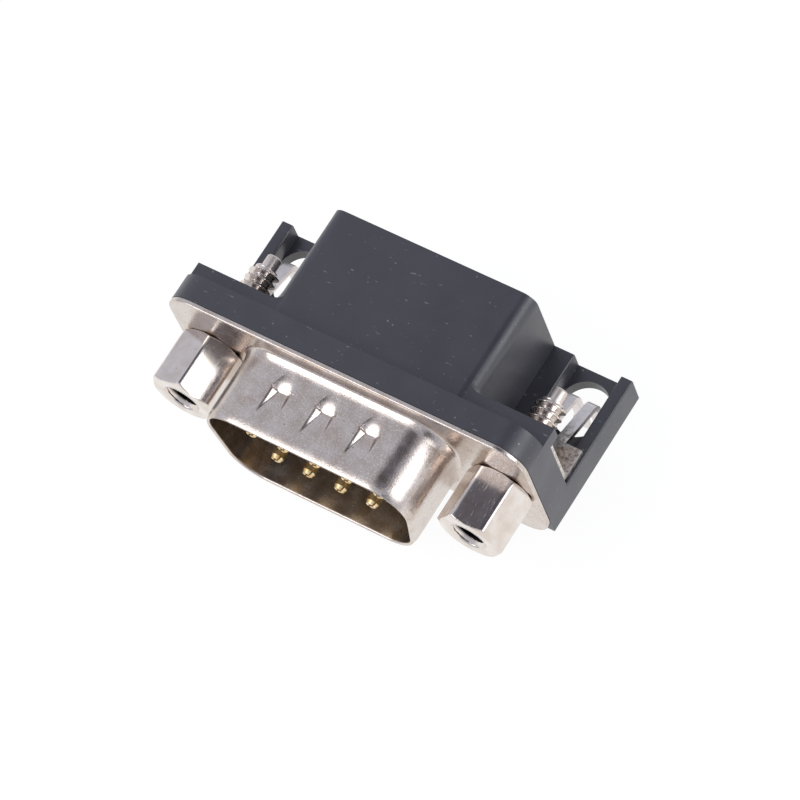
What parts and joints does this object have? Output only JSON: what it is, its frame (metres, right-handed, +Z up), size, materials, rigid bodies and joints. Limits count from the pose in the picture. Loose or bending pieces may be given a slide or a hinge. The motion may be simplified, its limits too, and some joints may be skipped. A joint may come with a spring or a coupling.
{
  "type": "right-angle d-sub plug",
  "caption": "Board-mounted right-angle D-sub plug with a nickel shell, black housing, gold pins, hex jackscrews and sheet-metal board-locks.",
  "frame": {"origin": "centre of the flange's front face, halfway between the jackscrews", "axes": "+X along the flange to the right as seen from the mating side, -Y the mating direction out of the shroud, +Z up, away from the board"},
  "size_m": [0.0308, 0.0183, 0.0155],
  "materials": {
    "nickel_shell": "nickel plate, satin",
    "housing_plastic": "fine moulded texture",
    "insulator_plastic": "fine moulded texture",
    "gold_contact": "gold flash",
    "nickel_screw": "nickel plate, bright",
    "lock_metal": "tinned sheet, dull"
  },
  "bodies": {
    "root": {"front_shell": "nickel_shell", "housing": "housing_plastic", "insulator": "insulator_plastic", "pin_1": "gold_contact", "pin_2": "gold_contact", "pin_3": "gold_contact", "pin_4": "gold_contact", "pin_5": "gold_contact", "pin_6": "gold_contact", "pin_7": "gold_contact", "pin_8": "gold_contact", "pin_9": "gold_contact", "pin_spacer": "insulator_plastic", "jackscrew_left": "nickel_screw", "jackscrew_right": "nickel_screw", "boardlock_left": "lock_metal", "boardlock_right": "lock_metal"}
  },
  "joints": []
}
